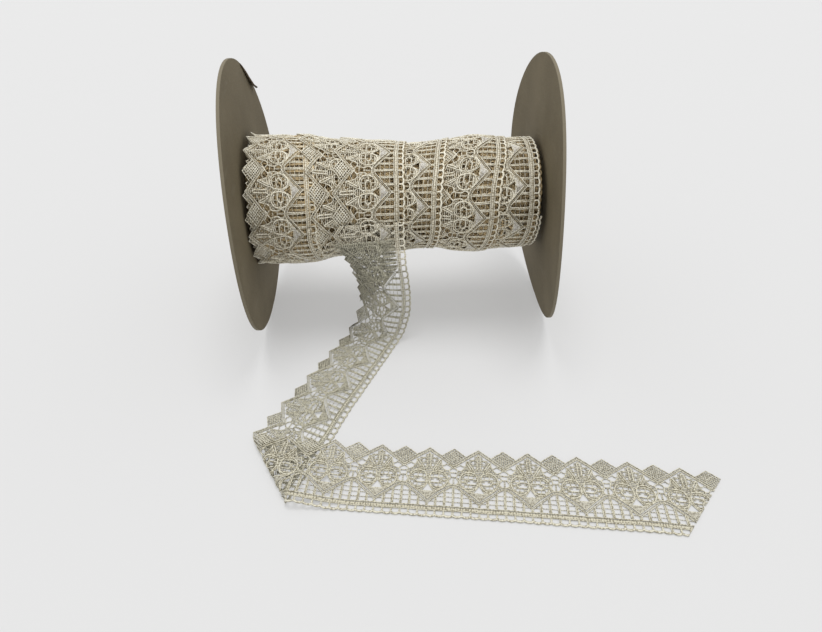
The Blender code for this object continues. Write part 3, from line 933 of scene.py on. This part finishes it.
# The heart of the roll. Where nothing but packed thread shows between the cords there is one plain
# round form, which follows the roll's outside and is rounded off at both ends. It is painted dark
# tan: painted shade of the deep gaps.
CORE_DROP = 5.2
CORE_SHOULDER = 6.0
CORE_SHOULDER_DROP = 6.0
CORE_LEFT_GAP = 1.2
CORE_RIGHT_GAP = 8.5
CORE_STEPS = 40
CORE_SIDES = 64
# The painted shade of the deep gaps, and its paler rows.
CORE_SHADED = (0.14, 0.085, 0.03)
CORE_SHADED_ROWS = (0.36, 0.27, 0.13)


def core_material():
    """Packed thread seen in deep gaps, painted dark tan as painted shade, with paler rows of stitches."""
    made, shader, start = new_material("packed_thread_in_shade", 0.7, Specular_IOR_Level=0.2)
    place = start.node("ShaderNodeTexCoord", output=3)
    settings = {"feature": "DISTANCE_TO_EDGE"}
    rows = start.node("ShaderNodeTexVoronoi", settings, {"Vector": place, "Scale": 420.0})
    tone = rows.band(0.02, 0.18)
    plug(shader, "Base Color", tone.mix(CORE_SHADED_ROWS, CORE_SHADED))
    plug(shader, "Normal", (1.0 - tone).bump(0.8, 0.0006))
    return made


roll_low, roll_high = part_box("lace_roll")
bpy.ops.object.select_all(action="DESELECT")
bpy.ops.mesh.primitive_cylinder_add(vertices=CORE_SIDES, radius=1.0, depth=1.0,
                                    rotation=(0.0, math.pi / 2.0, 0.0))
core = bpy.context.object
core.name = "packed_heart"
bpy.ops.object.transform_apply(location=True, rotation=True, scale=True)
bpy.ops.object.mode_set(mode="EDIT")
bpy.ops.mesh.select_mode(type="EDGE")
bpy.ops.mesh.select_all(action="DESELECT")
bpy.ops.object.mode_set(mode="OBJECT")
for edge in core.data.edges:
    start, end = (core.data.vertices[index].co for index in edge.vertices)
    edge.select = abs(start.x - end.x) > 0.5
bpy.ops.object.mode_set(mode="EDIT")
bpy.ops.mesh.subdivide(number_cuts=CORE_STEPS)
bpy.ops.object.mode_set(mode="OBJECT")
left_stop = roll_low.x / MM - SPOOL_MIDDLE.x + CORE_LEFT_GAP
right_stop = roll_high.x / MM - SPOOL_MIDDLE.x - CORE_RIGHT_GAP
for vertex in core.data.vertices:
    x = left_stop + (right_stop - left_stop) * (vertex.co.x + 0.5)
    shoulder = min(x - left_stop, right_stop - x)
    radius = blend(ROLL_PROFILE, x) - CORE_DROP - CORE_SHOULDER_DROP * (1.0 - ease(shoulder / CORE_SHOULDER))
    vertex.co = spool_point(x, AXIS_DEPTH + vertex.co.y * radius, AXIS_HEIGHT + vertex.co.z * radius)
core.data.shade_smooth()
core.data.materials.append(core_material())
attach(core, "root")


# The loose end. Half a metre of the same ribbon leaves the last turn at the front, hangs down, turns
# over a sharp crease on the table and runs on to the right with its back showing, to a cut end. Its
# whole length is in metres, all else here in millimetres.
LOOSE_REPEATS = 18
MOTIF_PHASE = -7.4
# Along the ribbon: where it touches down on the table, and where its middle crosses the crease.
TOUCH_DOWN = 118.0
CREASE_RUN = 231.0
CREASE_CENTRE = Vector((-87.6, -165.5))
FLAT_HEADING = math.radians(-118.3)
CREASE_HEADING = math.radians(-63.4)
# Past the crease it comes down onto the ribbon below, and off that ribbon's picot edge to the table.
BEND_RADIUS = 2.6
CREASE_SETTLE = 14.0
UPPER_LIFT = LACE + 0.6
STEP_DOWN_START = 27.0
STEP_DOWN_END = 58.0
# The slanting cut at its far end.
CUT_FAR = Vector((162.0, -186.0, 0.0))
CUT_NEAR = Vector((141.0, -232.0, 0.0))
# The least height of any thread over the table.
TABLE_CLEAR = 0.06
HANGING = (
    # distance along the ribbon, zigzag edge (x, y, z), picot edge (x, y, z), forward bulge of the middle
    (0.0, (-48.0, -45.9, 95.0), (1.8, -42.4, 95.0), 0.0),
    (15.0, (-46.5, -45.3, 80.0), (2.0, -43.9, 80.0), 1.0),
    (31.0, (-39.5, -38.8, 65.0), (2.9, -47.0, 64.5), 4.0),
    (52.0, (-33.2, -34.5, 45.0), (5.2, -49.5, 44.0), 6.0),
    (69.0, (-32.0, -34.0, 28.0), (5.3, -51.0, 27.5), 6.0),
    (82.0, (-36.0, -34.5, 15.5), (2.4, -52.5, 14.5), 5.0),
    (93.0, (-40.5, -37.5, 6.0), (-1.5, -54.0, 4.5), 4.0),
    (103.0, (-45.5, -43.5, 1.0), (-7.5, -62.0, 1.0), 3.5),
)
# Distance along the ribbon, and there its width as it lies, the rise of its middle, and, counted from
# the crease, how far it sways from a straight line.
FLAT_WIDTH = ((TOUCH_DOWN, 43.5), (165.0, 45.1), (205.0, RIBBON_WIDTH))
FLAT_BULGE = ((TOUCH_DOWN, 3.0), (165.0, 2.5), (205.0, 0.0))
SWAY = ((0.0, 0.0), (75.0, -0.1), (155.0, -0.8), (245.0, -6.6))
# Painted shade: the loose end is painted darker from where it leaves the roll, the back more than
# the front.
LOOSE_SHADE_BACK = 0.95
LOOSE_SHADE_FRONT = 0.65
LOOSE_SHADE_FROM = 22.0
LOOSE_SHADE_OVER = 16.0
STEADY_OVER = 20.0
LOOSE_SEED = 3


def heading(angle):
    """The unit vector at an angle from +X, on the table."""
    return Vector((math.cos(angle), math.sin(angle)))


RUN_WAY = heading(FLAT_HEADING)
PICOT_WAY = heading(FLAT_HEADING + math.pi / 2.0)
CREASE_WAY = heading(CREASE_HEADING)
PAST_CREASE = heading(CREASE_HEADING - math.pi / 2.0)


def flat_edge(run, share):
    """An edge point of the flat run, for the curve that leads into it."""
    centre = CREASE_CENTRE + RUN_WAY * (run - CREASE_RUN)
    point = centre + PICOT_WAY * (share - 0.5) * blend(FLAT_WIDTH, run)
    return Vector((point.x, point.y, LACE / 2.0))


hanging_rows = [(run, Vector(zigzag), Vector(picot), bulge) for run, zigzag, picot, bulge in HANGING]
for run in (TOUCH_DOWN, TOUCH_DOWN + HALF):
    hanging_rows.append((run, flat_edge(run, 0.0), flat_edge(run, 1.0), blend(FLAT_BULGE, run)))


def bow(share):
    """A bulge across the ribbon, from 0 at both edges to 1 in the middle."""
    return 4.0 * share * (1.0 - share)


def hanging_point(run, share):
    """A point of the hanging stretch, on a smooth curve through its rows."""
    rows = hanging_rows
    step = max(index for index in range(len(rows) - 2) if rows[index][0] <= max(run, 0.0))
    before, start, end, after = rows[max(step - 1, 0)], rows[step], rows[step + 1], rows[step + 2]
    span = end[0] - start[0]
    t = (run - start[0]) / span
    eased = 3.0 * t ** 2 - 2.0 * t ** 3
    found = []
    for item in (1, 2, 3):
        into = (end[item] - before[item]) * (span / (end[0] - before[0]))
        out = (after[item] - start[item]) * (span / (after[0] - start[0]))
        found.append(start[item] * (1.0 - eased) + end[item] * eased
                     + into * (t ** 3 - 2.0 * t ** 2 + t) + out * (t ** 3 - t ** 2))
    zigzag, picot, bulge = found
    onward = end[1] + end[2] - start[1] - start[2]
    outward = onward.cross(picot - zigzag).normalized()
    point = zigzag.lerp(picot, share) + outward * bulge * bow(share)
    point.z = max(point.z, LACE / 2.0)
    return point


def laid_point(run, across):
    """A point of the stretch that lies on the table, before and past the crease."""
    share = across / RIBBON_WIDTH
    sideways = (share - 0.5) * blend(FLAT_WIDTH, run)
    spot = RUN_WAY * (run - CREASE_RUN) + PICOT_WAY * sideways
    along_crease = spot.dot(CREASE_WAY)
    past = spot.dot(PAST_CREASE)
    if past <= 0.0:
        flat = CREASE_CENTRE + spot
        return Vector((flat.x, flat.y, LACE / 2.0 + blend(FLAT_BULGE, run) * bow(share)))
    turn = past / BEND_RADIUS
    if turn <= math.pi:
        flat = CREASE_CENTRE + CREASE_WAY * along_crease + PAST_CREASE * BEND_RADIUS * math.sin(turn)
        return Vector((flat.x, flat.y, LACE / 2.0 + BEND_RADIUS * (1.0 - math.cos(turn))))
    back = past - math.pi * BEND_RADIUS
    flat = CREASE_WAY * along_crease - PAST_CREASE * back
    lift = UPPER_LIFT + (2.0 * BEND_RADIUS - UPPER_LIFT) * math.exp(-back / CREASE_SETTLE)
    lift *= 1.0 - ease((flat.dot(PICOT_WAY) - STEP_DOWN_START) / (STEP_DOWN_END - STEP_DOWN_START))
    flat = CREASE_CENTRE + flat + Vector((0.0, blend(SWAY, back)))
    return Vector((flat.x, flat.y, LACE / 2.0 + lift))


def loose_point(run, across):
    """A point of the loose end's middle layer, from the roll's front to its cut end."""
    if run < TOUCH_DOWN:
        return hanging_point(run, across / RIBBON_WIDTH)
    return laid_point(run, across)


loose = lace_strip("loose_end", fine_repeat, MOTIF_PHASE, LOOSE_REPEATS, outer_stitching)
trim(loose, (0.0, 0.0, 0.0), (-1.0, 0.0, 0.0))

# The shade plies. Just below the roll two more thicknesses of lace, each moved on by a share of a
# repeat, lie behind the first, painted dark to stand for the shade there. They end on a slant.
SHADE_PLY_REPEATS = 4
SHADE_PLY_START = 12.0
SHADE_PLY_FAR_POINT = (33.0, 41.6, 0.0)
SHADE_PLY_SLANT = (0.72, 0.69, 0.0)
SHADE_PLY_LAYERS = ((0.5, 1.1), (0.22, 2.0))
for shift, depth in SHADE_PLY_LAYERS:
    shade_ply = lace_strip("shade_ply", plain_repeat, MOTIF_PHASE + shift * REPEAT, SHADE_PLY_REPEATS, outer_stitching)
    trim(shade_ply, (SHADE_PLY_START, 0.0, 0.0), (-1.0, 0.0, 0.0))
    trim(shade_ply, SHADE_PLY_FAR_POINT, SHADE_PLY_SLANT)
    trim(shade_ply, SHADE_PLY_FAR_POINT, (0.0, 1.0, 0.0))
    shade_ply.data.transform(Matrix.Translation((0.0, 0.0, -depth)))
    select_only(loose)
    shade_ply.select_set(True)
    bpy.ops.object.join()

# The flat strip is laid along the loose end's shape. Its normal is found once for each tenth of a
# millimetre, from points a little to all sides.
PROBE = 0.4
normals = {}
loose_shade = loose.data.attributes.new("loose_shade", "FLOAT", "POINT")
for vertex in loose.data.vertices:
    u, v, h = vertex.co
    # Painted shade: darker off the roll, the back more than the front, and full on the plies behind.
    off_roll = (LOOSE_SHADE_BACK if h < 0.0 else LOOSE_SHADE_FRONT) * ease((u - LOOSE_SHADE_FROM) / LOOSE_SHADE_OVER)
    loose_shade.data[vertex.index].value = 1.0 if h < -LACE / 2.0 else off_roll
    key = (round(u, 1), round(v, 1))
    if key not in normals:
        onward = loose_point(key[0] + PROBE, key[1]) - loose_point(key[0] - PROBE, key[1])
        sideways = loose_point(key[0], key[1] + PROBE) - loose_point(key[0], key[1] - PROBE)
        normals[key] = sideways.cross(onward).normalized()
    shift = wobble(u, v, LOOSE_SEED, WANDER * ease(u / STEADY_OVER))
    point = loose_point(u + shift.x, v + shift.y) + normals[key] * h
    vertex.co = spool_point(point.x, point.y, max(point.z, TABLE_CLEAR))
trim(loose, spool_point(*CUT_NEAR), (CUT_FAR - CUT_NEAR).cross(Vector((0.0, 0.0, 1.0))))
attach(loose, "root")
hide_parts("lace_tail")

# The two flat repeats have served their turn.
for mesh in (fine_repeat, plain_repeat):
    bpy.data.meshes.remove(mesh)
